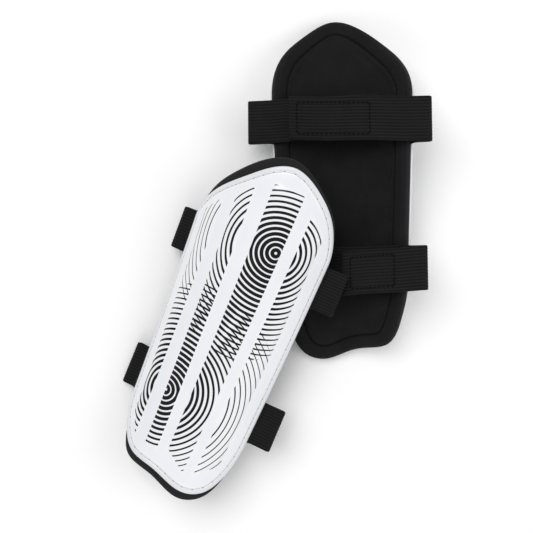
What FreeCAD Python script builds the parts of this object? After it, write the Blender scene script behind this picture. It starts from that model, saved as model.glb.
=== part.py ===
import FreeCAD, Part
import math
import os

# A pair of hard-shell shin guards lying loose on a flat surface. Guard B lies on its shell
# with the padded side up, and guard A lies across its lower corner with the shell up.
# Both guards have the same shape. Each is a moulded shell over a foam pad with a knit lining,
# and has two pairs of elastic straps that close across the hollow with hook-and-loop tape.
# All lengths are millimetres.

# One guard, in its own frame: x across the leg, y up the leg, z out of the shell.
# The section across the leg is an arc about the frame's y axis, and the whole guard is bent
# about a distant line in front of it, so both ends flare forwards.
SECTION_R = 65.0
FLARE_R = 1000.0
AXIS_Z = SECTION_R + FLARE_R

SHELL_T = 1.8
RIB_H = 0.7
CHANNEL_D = 0.5
FOAM_T = 5.2
LINING_T = 0.8
BAND_H = 0.8
PANEL_H = 1.2
SHELL_IN = SECTION_R - SHELL_T
FOAM_IN = SHELL_IN - FOAM_T
LINING_IN = FOAM_IN - LINING_T
BAND_IN = LINING_IN - BAND_H
PANEL_IN = LINING_IN - PANEL_H

# Outlines as seen from the front: the top from left to right, then the bottom from right to left.
# Straight sides join them.
FOAM_TOP = [(-50.0, 61.0), (-45.0, 79.5), (-30.5, 97.0), (9.5, 118.0), (31.0, 105.5),
            (43.2, 91.5), (48.2, 78.0), (49.5, 62.0)]
FOAM_BOTTOM = [(44.5, -68.0), (41.3, -93.0), (32.0, -113.0), (19.0, -118.0), (-5.0, -111.5),
               (-30.5, -106.0), (-39.8, -88.0), (-44.0, -68.0)]
SHELL_TOP = [(-49.9, 58.0), (-43.4, 76.0), (-19.4, 98.5), (10.5, 114.3), (29.5, 104.5),
             (41.2, 91.0), (47.0, 77.5), (49.3, 61.0)]
SHELL_BOTTOM = [(44.4, -68.0), (39.6, -95.0), (31.0, -109.0), (20.0, -112.8), (-4.8, -106.7),
                (-26.5, -102.5), (-37.6, -90.0), (-43.9, -68.0)]

# Raised ribs of the shell: corners from bottom left, clockwise, before rounding.
RIBS = [
    [(-35.0, -86.0), (-42.0, 68.0), (-30.5, 80.0), (-27.0, -92.0)],
    [(-17.7, -93.0), (-22.0, 86.0), (-10.8, 94.0), (-7.4, -94.0)],
    [(-0.5, -95.0), (0.3, 100.0), (21.7, 100.0), (15.0, -99.0)],
    [(21.3, -101.0), (29.3, 95.0), (40.6, 80.0), (34.6, -94.0)],
]
RIB_CORNER = 2.5

# Insets of the channel that the shell's stitches lie in.
CHANNEL_OUT = 2.5
CHANNEL_IN = 4.4

# Insets of the groove pressed into the lining.
GROOVE_OUT = 8.5
GROOVE_IN = 10.5

# Stitches that hold the shell, the strap roots and the foam together.
STITCH_INSET = 3.4
STITCH_PITCH = 7.0
STITCH_L = 4.0
STITCH_W = 0.6
STITCH_H = 0.35
LIFT = 0.02

# Straps: elastic webbing, sewn in between the foam and the shell at both sides.
WEB_T = 1.5
WEB_W = 29.6
TAPE_T = 1.0
TAPE_W = 24.0
TAPE_GAP = 0.3
RIM_GAP = 0.4
ROOT_L = 12.0
POCKET_T = 0.1
POCKET_W = 32.0
BEND_R = 3.0
LOOP_FOLD_R = 1.6
HOOK_FOLD_R = 2.6
LOOP_REACH = 15.0
HOOK_REACH = 12.0
TAB_STITCH_PITCH = 3.4
TAB_STITCH_L = 2.3
TAB_STITCH_W = 0.5
TAB_STITCH_H = 0.25

# Each strap station: height on the guard, free ends of the loop strap and of the hook tab,
# and the two ends of the tape along the tab.
STATIONS = {
    "upper": {"y": 45.0, "loop_end": -26.0, "tab_end": 34.0, "tape": (-22.0, 30.0)},
    "lower": {"y": -54.0, "loop_end": -38.0, "tab_end": 0.5, "tape": (-36.0, -4.0)},
}

# How the two guards lie. The pivot is the middle of the hollow, on the y axis of the guard.
# Guard A is propped up along its right side and its top, where it lies over guard B.
PIVOT_Z = 40.0
GUARD_A = {"place": (-28.65, -46.1, 22.79), "yaw": -23.5, "roll": -12.0, "pitch": 7.5,
           "shell_up": True}
GUARD_B = {"place": (47.35, 45.9, 32.25), "yaw": 1.0, "roll": -12.0, "pitch": 0.0,
           "shell_up": False}

Z = FreeCAD.Vector(0, 0, 1)


def vec(x, y, z=0.0):
    return FreeCAD.Vector(x, y, z)


# Flat patterns: x is the length along the section's arc, so a pattern wraps with no stretch.

def flat(x, y):
    return vec(SECTION_R * math.asin(x / SECTION_R), y)


def curve(points, first, last):
    """Smooth curve through points, with its speed even along them and given end directions."""
    knots = [0.0]
    for a, b in zip(points, points[1:]):
        knots.append(knots[-1] + (b - a).Length)
    spline = Part.BSplineCurve()
    spline.interpolate(Points=points, Parameters=knots, InitialTangent=first / first.Length,
                       FinalTangent=last / last.Length, Scale=False)
    return spline.toShape()


def outline(top, bottom):
    """Closed flat pattern: two curves joined tangentially by two straight sides."""
    upper = [flat(*p) for p in top]
    lower = [flat(*p) for p in bottom]
    right = lower[0] - upper[-1]
    left = upper[0] - lower[-1]
    head = curve(upper, left, right)
    foot = curve(lower, right, left)
    sides = [Part.makeLine(upper[-1], lower[0]), Part.makeLine(lower[-1], upper[0])]
    return Part.Wire([head, sides[0], foot, sides[1]])


def rounded(corners, radius):
    """Flat polygon with rounded corners."""
    points = [flat(*p) for p in corners]
    polygon = Part.makePolygon(points + points[:1])
    return polygon.makeOffset2D(-radius).makeOffset2D(radius)


# Wrapping a flat pattern onto the bent surface of a given section radius.

def surface(radius):
    torus = Part.Toroid()
    torus.MajorRadius = AXIS_Z
    torus.MinorRadius = radius
    return torus


def wrap_edge(edge, torus):
    curve = edge.Curve.toBSpline(*edge.ParameterRange)
    poles = [FreeCAD.Base.Vector2d(math.pi + p.y / FLARE_R, math.pi - p.x / SECTION_R)
             for p in curve.getPoles()]
    wrapped = Part.Geom2d.BSplineCurve2d()
    wrapped.buildFromPolesMultsKnots(poles, curve.getMultiplicities(), curve.getKnots(),
                                     False, curve.Degree, curve.getWeights())
    return wrapped.toShape(torus)


def wrap(wire, torus):
    return [wrap_edge(edge, torus) for edge in wire.OrderedEdges]


def skin(radius, wire, holes=()):
    """Face of the bent surface inside a pattern."""
    torus = surface(radius)
    face = Part.Face(torus, Part.Wire(wrap(wire, torus)))
    if holes:
        face = face.cut([Part.Face(torus, Part.Wire(wrap(hole, torus))) for hole in holes])
    return face.Faces[0]


def wall(wire, low, high):
    """Edge faces square to the surface, between two radii."""
    pairs = zip(wrap(wire, surface(low)), wrap(wire, surface(high)))
    return [Part.makeRuledSurface(inner, outer) for inner, outer in pairs]


def close(faces):
    """Solid from its faces, turned from the torus's frame into the guard's."""
    sewn = Part.makeShell(faces)
    sewn.sewShape()
    solid = Part.Solid(sewn)
    if solid.Volume < 0:
        solid.reverse()
    solid.Placement = FreeCAD.Placement(FreeCAD.Matrix(0, 0, 1, 0, 0, -1, 0, 0, 1, 0, 0, AXIS_Z))
    return solid


def rim_height(side, y):
    """Angle of the guard's side edge about the section's centre, at a height on the guard."""
    top = FOAM_TOP[-1] if side > 0 else FOAM_TOP[0]
    bottom = FOAM_BOTTOM[0] if side > 0 else FOAM_BOTTOM[-1]
    share = (y - bottom[1]) / (top[1] - bottom[1])
    return math.asin(abs(bottom[0] + share * (top[0] - bottom[0])) / SECTION_R)


# The layers of a guard.

def make_shell(pattern):
    """Moulded shell with a stitch channel along its edge and four raised ribs."""
    ribs = [rounded(corners, RIB_CORNER) for corners in RIBS]
    edge = pattern.makeOffset2D(-CHANNEL_OUT)
    field = pattern.makeOffset2D(-CHANNEL_IN)
    floor = SECTION_R - CHANNEL_D
    faces = [skin(SHELL_IN, pattern), skin(SECTION_R, pattern, [edge]), skin(floor, edge, [field]),
             skin(SECTION_R, field, ribs)]
    faces += wall(pattern, SHELL_IN, SECTION_R)
    faces += wall(edge, floor, SECTION_R)
    faces += wall(field, floor, SECTION_R)
    for rib in ribs:
        faces += wall(rib, SECTION_R, SECTION_R + RIB_H)
        faces.append(skin(SECTION_R + RIB_H, rib))
    return close(faces)


def make_foam(pattern):
    """Foam pad with a shallow pocket under each strap root."""
    foam = close([skin(FOAM_IN, pattern), skin(SHELL_IN, pattern)] + wall(pattern, FOAM_IN, SHELL_IN))
    pockets = []
    for station in STATIONS.values():
        for side in (-1, 1):
            edge = rim_height(side, station["y"])
            start = edge - (ROOT_L + 1.0) / SHELL_IN
            low = SHELL_IN - WEB_T - 2 * POCKET_T
            pockets.append(at_station(sector(side, low, SHELL_IN + 1.0, start, edge + 0.1, POCKET_W),
                                      station["y"]))
    return foam.cut(pockets).Solids[0]


def make_lining(pattern):
    """Knit lining: a raised band along the edge, a pressed groove and a raised centre panel."""
    band = pattern.makeOffset2D(-GROOVE_OUT)
    panel = pattern.makeOffset2D(-GROOVE_IN)
    faces = [skin(FOAM_IN, pattern), skin(BAND_IN, pattern, [band])]
    faces += wall(pattern, BAND_IN, FOAM_IN)
    faces += wall(band, BAND_IN, LINING_IN)
    faces.append(skin(LINING_IN, band, [panel]))
    faces += wall(panel, PANEL_IN, LINING_IN)
    faces.append(skin(PANEL_IN, panel))
    return close(faces)


# Straps are drawn in the section plane at the middle of a station, then carried to it.

def sector(side, low, high, start, end, width):
    """Block between two radii and two angles from the crest, centred on the section plane."""
    points = []
    for radius, first, last in ((low, start, end), (high, end, start)):
        for angle in (first, (first + last) / 2, last):
            points.append(vec(side * radius * math.sin(angle), -width / 2, radius * math.cos(angle)))
    edges = [Part.Arc(*points[:3]).toShape(), Part.makeLine(points[2], points[3]),
             Part.Arc(*points[3:]).toShape(), Part.makeLine(points[5], points[0])]
    return Part.Face(Part.Wire(edges)).extrude(vec(0, width))


def path(points, radii):
    """Straight runs joined by tangent arcs, through the given corners."""
    edges = []
    start = points[0]
    for before, corner, after, radius in zip(points, points[1:], points[2:], radii):
        back = (before - corner).normalize()
        ahead = (after - corner).normalize()
        half = back.getAngle(ahead) / 2
        reach = radius / math.tan(half)
        inward = (back + ahead).normalize()
        middle = corner + inward * (radius / math.sin(half) - radius)
        first = corner + back * reach
        last = corner + ahead * reach
        if (first - start).Length > 0.001:
            edges.append(Part.makeLine(start, first))
        edges.append(Part.Arc(first, middle, last).toShape())
        start = last
    if (points[-1] - start).Length > 0.001:
        edges.append(Part.makeLine(start, points[-1]))
    return edges


def ribbon(edges):
    """Webbing of constant section along a path in the section plane."""
    spine = Part.Wire(edges)
    start = spine.OrderedVertexes[0].Point
    along = spine.OrderedEdges[0].tangentAt(spine.OrderedEdges[0].FirstParameter)
    across = vec(0, WEB_W / 2)
    out = along.cross(vec(0, 1)).normalize() * (WEB_T / 2)
    corners = [start + across + out, start - across + out, start - across - out, start + across - out]
    profile = Part.makePolygon(corners + corners[:1])
    return spine.makePipeShell([profile], True, True)


def root_arc(side, edge):
    """Part of a strap that lies between foam and shell, ending at the guard's edge."""
    radius = SHELL_IN - POCKET_T - WEB_T / 2
    angles = (edge - ROOT_L / radius, edge - ROOT_L / radius / 2, edge)
    points = [vec(side * radius * math.sin(a), 0, radius * math.cos(a)) for a in angles]
    return Part.Arc(*points).toShape(), points[-1]


def folded(side, edge, fold_x, fold_r, run_z, end_x):
    """Webbing that leaves the seam, folds back at the side and runs across under the rims."""
    root, leave = root_arc(side, edge)
    level = run_z + 2 * fold_r
    bend_x = abs(leave.x) + (leave.z - level) / math.tan(edge)
    turn_x = side * (fold_x + fold_r)
    corners = [leave, vec(side * bend_x, 0, level), vec(turn_x, 0, level), vec(turn_x, 0, run_z),
               vec(end_x, 0, run_z)]
    return ribbon([root] + path(corners, (BEND_R, fold_r, fold_r)))


def plate(x_from, x_to, width, z_from, z_to, corner):
    """Flat piece of webbing or tape with rounded corners."""
    low, high = sorted((x_from, x_to))
    bottom, top = sorted((z_from, z_to))
    box = Part.makeBox(high - low, width, top - bottom, vec(low, -width / 2, bottom))
    upright = [e for e in box.Edges if abs(e.tangentAt(0).z) > 0.9]
    return box.makeFillet(corner, upright)


def at_station(shape, y):
    """Carries a shape from the middle section to its height on the guard."""
    moved = shape.copy()
    moved.rotate(vec(0, 0, AXIS_Z), vec(1, 0), math.degrees(y / FLARE_R))
    return moved


def levels(station):
    """Heights of the strap layers, stacked from the rims outwards."""
    rim = min(BAND_IN * math.cos(rim_height(side, station["y"])) for side in (-1, 1))
    loop_mid = rim - RIM_GAP - WEB_T / 2
    tape_top = loop_mid - WEB_T / 2
    hook_top = tape_top - TAPE_T - TAPE_GAP
    tab_mid = hook_top - TAPE_T - WEB_T / 2
    return loop_mid, tape_top, hook_top, tab_mid


def fold_place(station, side, fold_r, reach):
    """Distance of a fold's centre from the middle of the guard."""
    edge = rim_height(side, station["y"])
    return SECTION_R * math.sin(edge) + reach - fold_r - WEB_T / 2


def make_straps(station):
    loop_mid, tape_top, hook_top, tab_mid = levels(station)
    left = rim_height(-1, station["y"])
    right = rim_height(1, station["y"])
    tape_from, tape_to = station["tape"]
    loop_fold = fold_place(station, 1, LOOP_FOLD_R, LOOP_REACH)
    hook_fold = fold_place(station, -1, HOOK_FOLD_R, HOOK_REACH)
    loop = folded(1, right, loop_fold, LOOP_FOLD_R, loop_mid, station["loop_end"])
    root = folded(-1, left, hook_fold, HOOK_FOLD_R, tab_mid, -hook_fold)
    tab = plate(-hook_fold, station["tab_end"], WEB_W, tab_mid - WEB_T / 2, tab_mid + WEB_T / 2, 0.8)
    hooks = plate(tape_from, tape_to, TAPE_W, hook_top, hook_top - TAPE_T, 1.5)
    loops = plate(tape_from - 1, tape_to, TAPE_W, tape_top, tape_top - TAPE_T, 1.5)
    seam = tab_stitches(tape_from + 1.5, tape_to - 1.5, TAPE_W - 3, tab_mid - WEB_T / 2)
    pieces = {
        "loop_strap": loop,
        "loop_patch": loops,
        "hook_strap_root": root,
        "hook_strap_tab": tab,
        "hook_patch": hooks,
        "hook_patch_stitching": seam,
    }
    return {name: at_station(shape, station["y"]) for name, shape in pieces.items()}


# Stitches are short straight threads, one solid each.

def thread(length, width, height, placement):
    box = Part.makeBox(length, width, height, vec(-length / 2, -width / 2))
    box.Placement = placement
    return box


def tab_stitches(x_from, x_to, width, face_z):
    """Box stitch around the hook tape, on the outer face of the tab."""
    stitches = []
    long_count = round((x_to - x_from) / TAB_STITCH_PITCH)
    short_count = round(width / TAB_STITCH_PITCH)
    level = face_z - LIFT - TAB_STITCH_H
    for i in range(long_count):
        x = x_from + (i + 0.5) * (x_to - x_from) / long_count
        for y in (-width / 2, width / 2):
            spot = FreeCAD.Placement(vec(x, y, level), FreeCAD.Rotation())
            stitches.append(thread(TAB_STITCH_L, TAB_STITCH_W, TAB_STITCH_H, spot))
    for i in range(short_count):
        y = -width / 2 + (i + 0.5) * width / short_count
        for x in (x_from, x_to):
            spot = FreeCAD.Placement(vec(x, y, level), FreeCAD.Rotation(Z, 90))
            stitches.append(thread(TAB_STITCH_L, TAB_STITCH_W, TAB_STITCH_H, spot))
    return Part.makeCompound(stitches)


def rim_stitches(pattern):
    """Row of stitches on the floor of the shell's channel."""
    row = pattern.makeOffset2D(-STITCH_INSET)
    count = round(row.Length / STITCH_PITCH)
    stitches = []
    for point, ahead in zip(row.discretize(count + 1), row.discretize(count + 1)[1:]):
        middle = (point + ahead) / 2
        across = middle.x / SECTION_R
        up = middle.y / FLARE_R
        turn = math.degrees(math.atan2(ahead.y - point.y, ahead.x - point.x))
        seat = FreeCAD.Placement(vec(0, 0, SECTION_R - CHANNEL_D + LIFT), FreeCAD.Rotation(Z, turn))
        about_leg = FreeCAD.Placement(vec(0, 0), FreeCAD.Rotation(vec(0, 1), math.degrees(across)))
        flare = FreeCAD.Placement(vec(0, 0), FreeCAD.Rotation(vec(1, 0), math.degrees(up)),
                                  vec(0, 0, AXIS_Z))
        spot = flare.multiply(about_leg).multiply(seat)
        stitches.append(thread(STITCH_L, STITCH_W, STITCH_H, spot))
    return Part.makeCompound(stitches)


def make_guard():
    foam_pattern = outline(FOAM_TOP, FOAM_BOTTOM)
    shell_pattern = outline(SHELL_TOP, SHELL_BOTTOM)
    pieces = {
        "shell": make_shell(shell_pattern),
        "foam_pad": make_foam(foam_pattern),
        "lining": make_lining(foam_pattern),
        "rim_stitching": rim_stitches(shell_pattern),
    }
    for name, station in STATIONS.items():
        for piece, shape in make_straps(station).items():
            pieces[f"{name}_{piece}"] = shape
    return pieces


def lay(guard):
    """Placement that lays a guard down: flipped if the pad is up, tilted, then turned."""
    flip = FreeCAD.Rotation(vec(0, 1), 0 if guard["shell_up"] else 180)
    pitch = FreeCAD.Rotation(vec(1, 0), guard["pitch"])
    roll = FreeCAD.Rotation(vec(0, 1), guard["roll"])
    yaw = FreeCAD.Rotation(Z, guard["yaw"])
    turn = yaw.multiply(roll).multiply(pitch).multiply(flip)
    return FreeCAD.Placement(vec(*guard["place"]) - turn.multVec(vec(0, 0, PIVOT_Z)), turn)


def build():
    pieces = make_guard()
    nodes = {}
    for letter, guard in (("a", GUARD_A), ("b", GUARD_B)):
        for name, shape in pieces.items():
            node = shape.copy()
            node.Placement = lay(guard).multiply(node.Placement)
            nodes[f"guard_{letter}_{name}"] = node
    return nodes


if __name__ == "__main__":
    os.makedirs("parts", exist_ok=True)
    for node_name, node_shape in build().items():
        node_shape.exportStep(f"parts/{node_name}.step")
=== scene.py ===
import math
import random

import bmesh
import bpy
import numpy as np
from mathutils import Matrix, Vector


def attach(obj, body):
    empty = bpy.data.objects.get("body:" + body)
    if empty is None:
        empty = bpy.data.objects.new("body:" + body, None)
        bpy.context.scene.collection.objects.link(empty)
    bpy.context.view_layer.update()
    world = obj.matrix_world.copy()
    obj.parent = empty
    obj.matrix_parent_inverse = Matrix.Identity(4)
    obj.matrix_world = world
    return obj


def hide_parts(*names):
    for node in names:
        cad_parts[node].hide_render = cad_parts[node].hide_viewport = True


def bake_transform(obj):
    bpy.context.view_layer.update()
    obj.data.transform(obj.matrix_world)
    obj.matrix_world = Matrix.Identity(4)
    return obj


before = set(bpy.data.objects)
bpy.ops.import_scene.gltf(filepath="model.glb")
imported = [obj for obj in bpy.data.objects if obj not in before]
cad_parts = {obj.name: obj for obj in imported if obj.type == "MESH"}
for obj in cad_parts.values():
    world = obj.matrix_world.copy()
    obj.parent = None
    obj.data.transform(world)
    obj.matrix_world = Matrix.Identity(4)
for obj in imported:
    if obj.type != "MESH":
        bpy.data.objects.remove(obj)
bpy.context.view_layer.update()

random.seed(7)

# A pair of hard-shell shin guards. Lengths in the guard's own frame are millimetres, as in the
# CAD model: x across the leg, y up the leg, z out of the shell. to_world turns them into metres.
MM = 0.001
SECTION_R = 65.0
FLARE_R = 1000.0
AXIS_Z = SECTION_R + FLARE_R
PIVOT_Z = 40.0
LAY = {
    "a": {"place": (-28.65, -46.1, 22.79), "yaw": -23.5, "roll": -12.0, "pitch": 7.5, "flip": 0.0},
    "b": {"place": (47.35, 45.9, 32.25), "yaw": 1.0, "roll": -12.0, "pitch": 0.0, "flip": 180.0},
}

# Radii of the layers, from the middle of the section.
SHELL_OUT = 65.0
SHELL_IN = 63.2
FOAM_IN = 58.0
BAND_IN = 56.4
GROOVE_IN = 57.5
PANEL_IN = 56.0

# Outlines seen from the front: the top from left to right, the bottom from right to left.
FOAM_TOP = [(-50.0, 61.0), (-45.0, 79.5), (-30.5, 97.0), (9.5, 118.0), (31.0, 105.5),
            (43.2, 91.5), (48.2, 78.0), (49.5, 62.0)]
FOAM_BOTTOM = [(44.5, -68.0), (41.3, -93.0), (32.0, -113.0), (19.0, -118.0), (-5.0, -111.5),
               (-30.5, -106.0), (-39.8, -88.0), (-44.0, -68.0)]
SHELL_TOP = [(-49.9, 58.0), (-43.4, 76.0), (-19.4, 98.5), (10.5, 114.3), (29.5, 104.5),
             (41.2, 91.0), (47.0, 77.5), (49.3, 61.0)]
SHELL_BOTTOM = [(44.4, -68.0), (39.6, -95.0), (31.0, -109.0), (20.0, -112.8), (-4.8, -106.7),
                (-26.5, -102.5), (-37.6, -90.0), (-43.9, -68.0)]

# Raised, printed ribs: left and right edge at the top and at the bottom, and the two end heights
# of each edge.
RIBS = [
    {"top": (-42.0, -30.5), "bottom": (-35.0, -27.0), "head": (66.0, 79.0), "foot": (-79.0, -93.0)},
    {"top": (-22.0, -10.8), "bottom": (-17.7, -7.4), "head": (86.0, 94.0), "foot": (-93.0, -94.0)},
    {"top": (0.3, 21.7), "bottom": (-0.5, 15.0), "head": (101.0, 100.0), "foot": (-90.0, -101.0)},
    {"top": (29.3, 40.6), "bottom": (21.3, 34.6), "head": (90.0, 76.0), "foot": (-100.0, -88.0)},
]
RIB_H = 0.8
RIB_START = 0.4
RIB_FLANK = 3.4
CHANNEL_AT = 3.4
CHANNEL_D = 0.55
CHANNEL_W = 0.55
SHELL_RIM_D = 0.55
SHELL_RIM_W = 1.0
FOAM_RIM_D = 0.7
FOAM_RIM_W = 1.5

# Lining: rounded rim, padded band, pressed groove, raised panel inside the groove.
LINING_RIM_D = 1.5
LINING_RIM_W = 1.8
BAND_PUFF = 0.35
BAND_AT = 4.4
BAND_W = 2.6
GROOVE_AT = 9.5
GROOVE_W = 0.75
PANEL_RISE_W = 3.5

# Mesh: points of each outline's four stretches, and the rings of faces inside the edge.
ACROSS = 100
ALONG = 120
SHELL_INSETS = [0, 0.4, 0.9, 1.6, 2.2, 2.6, 3.0, 3.4, 3.8, 4.2, 4.7, 5.4, 6.4, 7.6]
PAD_INSETS = [0, 0.4, 0.9, 1.6, 2.6, 4.0, 5.6, 7.2, 8.2, 8.7, 9.1, 9.5, 9.9, 10.4, 11.2, 12.6]

# The lining is one closed layer. Its fabric is inflated by a cloth simulation between the rim and
# the groove and inside the groove, at SIM_SCALE times real size, where the solver is steadier.
SIM_SCALE = 20.0
SIM_FRAMES = 14
SIM_QUALITY = 4
SIM_PRESSURE = 0.25
SIM_GROW = -0.015
PUFF_CAP = 0.9 * MM

# Straps: ribbed webbing with thin selvedges and a heat-cut end, and the tapes sewn to it.
WEB_T = 1.5
WEB_W = 29.6
WEB_STEP = 1.1
WEB_POINTS = 99
RIB_PITCH = 2.1
WEB_RIB_D = 0.2
SELVEDGE = 0.7
CUT_END = 0.8
SWAY = 0.25
TAPE_T = 1.0
TAPE_W = 24.0
TAPE_GAP = 0.3
RIM_GAP = 0.4
ROOT_L = 12.0
BEND_R = 3.0
LOOP_FOLD_R = 1.6
HOOK_FOLD_R = 2.6
LOOP_REACH = 15.0
HOOK_REACH = 12.0
STATIONS = {
    "upper": {"y": 45.0, "loop_end": -26.0, "tab_end": 34.0, "tape": (-22.0, 30.0), "slant": 2.9},
    "lower": {"y": -54.0, "loop_end": -38.0, "tab_end": 0.5, "tape": (-36.0, -4.0), "slant": -3.4},
}

# The body each tab belongs to, and how far a hook strap sits above its station. Guard A's upper
# tab doesn't open.
TAB_BODIES = {
    ("a", "upper"): "guard_a",
    ("a", "lower"): "guard_a_lower_tab",
    ("b", "upper"): "guard_b_upper_tab",
    ("b", "lower"): "guard_b_lower_tab",
}
HOOK_SHIFT = {("b", "upper"): -4.0}

# Sewing: pitch, share of the pitch that a stitch covers, thread radius and arch height.
RIM_SEAM = {"pitch": 7.2, "fill": 0.84}
RIM_THREAD = {"radius": 0.28, "rise": 0.22}
GROOVE_SEAM = {"pitch": 4.2, "fill": 0.62}
GROOVE_THREAD = {"radius": 0.24, "rise": 0.15}
BOX_PITCH = 3.0
BOX_INSET = 1.5
BOX_STITCH = (0.14, 0.86)
BOX_THREAD = {"radius": 0.33, "rise": 0.3}
HOLE_R = 0.6
HOLE_SPREAD = 0.2
HOLE_SIDES = 9

# Print on the ribs: two systems of rings. Each line's half width, as a share of the pitch, goes
# from the first RING_HALF to the second over RING_FADE mm; RING_STRETCH counts the distance
# across and up, on the side away from the guard's middle and on the side towards it. Each system
# stops at a bowed line with its own middle and height.
RING_PITCH = 3.5
RING_PHASE = 0.13
RING_CENTRES = {"upper": (17.2, 59.0), "lower": (-17.9, -54.7)}
RING_SIDES = {"upper": 1, "lower": -1}
RING_FADE = (2.0, 58.0)
RING_HALF = (0.37, 0.09)
RING_STRETCH = {"away": (1.6, 0.95), "towards": (1.0, 0.55)}
RING_BOW = 0.0124
RING_MEETING = {"upper": (9.0, 17.0), "lower": (-9.0, 23.0)}
RAGGED = 5.0

# Colours, as linear RGBA; pairs are dark and light.
SHELL_WHITE = (0.80, 0.805, 0.82, 1)
SHELL_DULL = (0.77, 0.78, 0.80, 1)
SHELL_BLUE = (0.71, 0.72, 0.81, 1)
SHELL_RIM = (0.66, 0.67, 0.69, 1)
INK = (0.003, 0.003, 0.004, 1)
FOAM_TONES = ((0.006, 0.006, 0.0068, 1), (0.02, 0.02, 0.022, 1))
FOAM_DUST = (0.03, 0.03, 0.032, 1)
LINING_TONES = ((0.0045, 0.0045, 0.005, 1), (0.0075, 0.0075, 0.0085, 1))
LINING_KNIT = (0.013, 0.013, 0.0145, 1)
LINING_LINT = (0.05, 0.05, 0.053, 1)
# Painted shade in the lining's pressed groove.
LINING_GROOVE_SHADE = (0.002, 0.002, 0.002, 1)
# Painted light and shade of the webbing: the colour between the ribs, then the colour of the rib crests.
WEB_RIB_LIGHT_AND_SHADE = ((0.0006, 0.0006, 0.0007, 1), (0.0105, 0.0105, 0.0115, 1))
WEB_WEFT = (0.009, 0.009, 0.010, 1)
WEB_WORN = (0.012, 0.012, 0.013, 1)
HOOK_TONES = ((0.01, 0.01, 0.011, 1), (0.05, 0.05, 0.055, 1))
LOOP_TONES = ((0.012, 0.012, 0.013, 1), (0.06, 0.06, 0.065, 1))
THREAD_GREY = ((0.42, 0.43, 0.45, 1), (0.62, 0.63, 0.65, 1))
THREAD_BLACK = ((0.0015, 0.0015, 0.0016, 1), (0.005, 0.005, 0.0055, 1))
# Painted shade of the needle holes, dark and light.
HOLE_SHADE_TONES = ((0.03, 0.03, 0.035, 1), (0.08, 0.08, 0.09, 1))
PAPER_TONES = ((0.90, 0.90, 0.90, 1), (0.93, 0.93, 0.93, 1))

# Studio, in metres and watts: each light's place, power and size.
FLOOR_HALF = 12.0
LIGHTS = {
    "softbox_top": ((-0.5, 0.6, 1.5), 17.0, 1.2),
    "softbox_right": ((1.3, -0.2, 0.9), 6.0, 0.9),
    "softbox_front": ((-0.2, -1.4, 1.0), 5.5, 1.0),
}
WORLD_STRENGTH = 0.47
CAMERA_PLACE = (-0.0034, -0.0079, 0.60)
CAMERA_LENS = 56.7
CAMERA_SENSOR = 36.0


# Geometry of a guard.

def lay_matrix(lay):
    turn = (Matrix.Rotation(math.radians(lay["yaw"]), 4, "Z")
            @ Matrix.Rotation(math.radians(lay["roll"]), 4, "Y")
            @ Matrix.Rotation(math.radians(lay["pitch"]), 4, "X")
            @ Matrix.Rotation(math.radians(lay["flip"]), 4, "Y"))
    return Matrix.Translation(lay["place"]) @ turn @ Matrix.Translation((0, 0, -PIVOT_Z))


def to_world(letter, points):
    """Points in a guard's frame, in mm, to the row frame in metres."""
    matrix = np.array(lay_matrix(LAY[letter]))
    points = np.asarray(points, float).reshape(-1, 3)
    return (points @ matrix[:3, :3].T + matrix[:3, 3]) * MM


def on_surface(places, radius):
    """Wraps flat pattern points (x, y) at a section radius."""
    places = np.asarray(places, float)
    across = places[:, 0] / SECTION_R
    up = places[:, 1] / FLARE_R
    reach = AXIS_Z - radius * np.cos(across)
    return np.stack([radius * np.sin(across), reach * np.sin(up), AXIS_Z - reach * np.cos(up)], 1)


def at_station(points, y):
    """Carries points drawn in the middle section to a height on the guard."""
    turn = y / FLARE_R
    x, v, z = points[:, 0], points[:, 1], points[:, 2] - AXIS_Z
    return np.stack([x, v * math.cos(turn) - z * math.sin(turn),
                     AXIS_Z + v * math.sin(turn) + z * math.cos(turn)], 1)


def flat(point):
    """Outline point, seen from the front, to the flat pattern."""
    return np.array([SECTION_R * math.asin(point[0] / SECTION_R), point[1]])


def spline(points, first, last, count):
    """Smooth curve through points with given end directions, evenly sampled."""
    points = np.array(points)
    gaps = np.linalg.norm(np.diff(points, axis=0), axis=1)
    knots = np.concatenate([[0], np.cumsum(gaps)])
    n = len(points)
    matrix = np.zeros((n, n))
    right = np.zeros((n, 2))
    matrix[0, 0] = matrix[-1, -1] = 1
    right[0] = first / np.linalg.norm(first)
    right[-1] = last / np.linalg.norm(last)
    for i in range(1, n - 1):
        matrix[i, i - 1] = gaps[i]
        matrix[i, i] = 2 * (gaps[i] + gaps[i - 1])
        matrix[i, i + 1] = gaps[i - 1]
        right[i] = 3 * (gaps[i - 1] * (points[i + 1] - points[i]) / gaps[i]
                        + gaps[i] * (points[i] - points[i - 1]) / gaps[i - 1])
    slopes = np.linalg.solve(matrix, right)
    at = np.linspace(0, knots[-1], 2000)
    i = np.clip(np.searchsorted(knots, at, side="right") - 1, 0, n - 2)
    h = gaps[i][:, None]
    s = ((at - knots[i]) / gaps[i])[:, None]
    dense = ((2 * s**3 - 3 * s**2 + 1) * points[i] + (s**3 - 2 * s**2 + s) * h * slopes[i]
             + (3 * s**2 - 2 * s**3) * points[i + 1] + (s**3 - s**2) * h * slopes[i + 1])
    return resample(dense, count)


def resample(dense, count):
    """Points at even distances along a dense line."""
    length = np.concatenate([[0], np.cumsum(np.linalg.norm(np.diff(dense, axis=0), axis=1))])
    at = np.linspace(0, length[-1], count + 1)
    return np.stack([np.interp(at, length, dense[:, k]) for k in range(dense.shape[1])], 1)


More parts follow.
